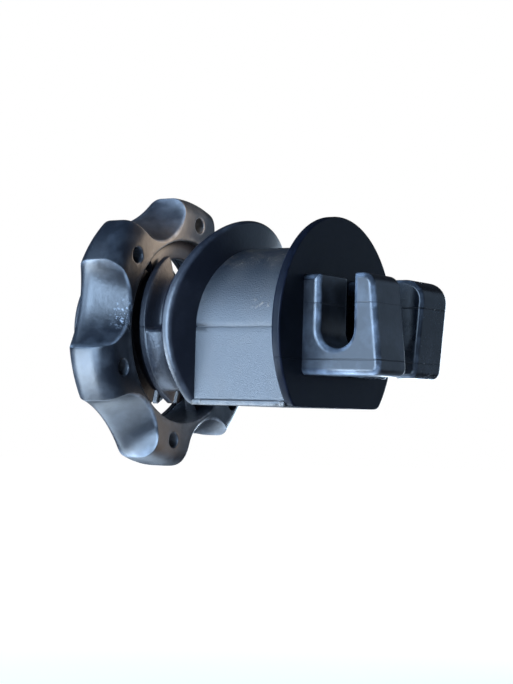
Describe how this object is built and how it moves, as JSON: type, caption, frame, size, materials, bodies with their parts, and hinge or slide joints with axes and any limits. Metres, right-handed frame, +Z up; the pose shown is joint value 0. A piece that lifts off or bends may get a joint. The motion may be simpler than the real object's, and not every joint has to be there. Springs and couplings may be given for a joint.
{
  "type": "fence insulator",
  "caption": "Screw-on fence insulator: a flanged barrel with twist-in wire jaws, clamped to a round post by a lobed hand nut.",
  "frame": {"origin": "where the post's axis crosses the insulator's axis, in the middle of the post seat", "axes": "+X along the insulator from the hand nut to the wire jaws, +Z up along the post, +Y towards the far jaw"},
  "size_m": [0.0541, 0.0414, 0.042],
  "materials": {
    "body_plastic": "fine spark-eroded texture, UV-stable black",
    "flange_plastic": "smooth, low sheen, UV-stable black",
    "jaw_plastic": "smooth moulded, satin gloss",
    "nut_plastic": "satin moulded, lightly handled"
  },
  "bodies": {
    "insulator_body": {"near_prong": "body_plastic", "far_prong": "body_plastic", "post_saddle": "body_plastic", "rear_flange": "body_plastic", "barrel_shell": "body_plastic", "barrel_rib": "body_plastic", "front_flange": "flange_plastic", "near_wire_jaw": "jaw_plastic", "far_wire_jaw": "jaw_plastic"},
    "nut_carrier": {"nut_rear_collar": "nut_plastic"},
    "hand_nut": {"nut_grip_rim": "nut_plastic", "nut_thread_lug_1": "nut_plastic", "nut_thread_lug_2": "nut_plastic", "nut_thread_lug_3": "nut_plastic"}
  },
  "joints": [
    {"name": "nut_advance", "type": "slide", "parent": "insulator_body", "child": "nut_carrier", "axis": [-1, 0, 0], "range_m": [0, 0.008]},
    {"name": "nut_turn", "type": "hinge", "parent": "nut_carrier", "child": "hand_nut", "pos_m": [-0.009, 0, 0], "axis": [-1, 0, 0], "range_deg": [0, 720]}
  ],
  "couplings": [
    {"joint": "nut_advance", "follows": "nut_turn", "m_per_rad": 0.00063662}
  ]
}
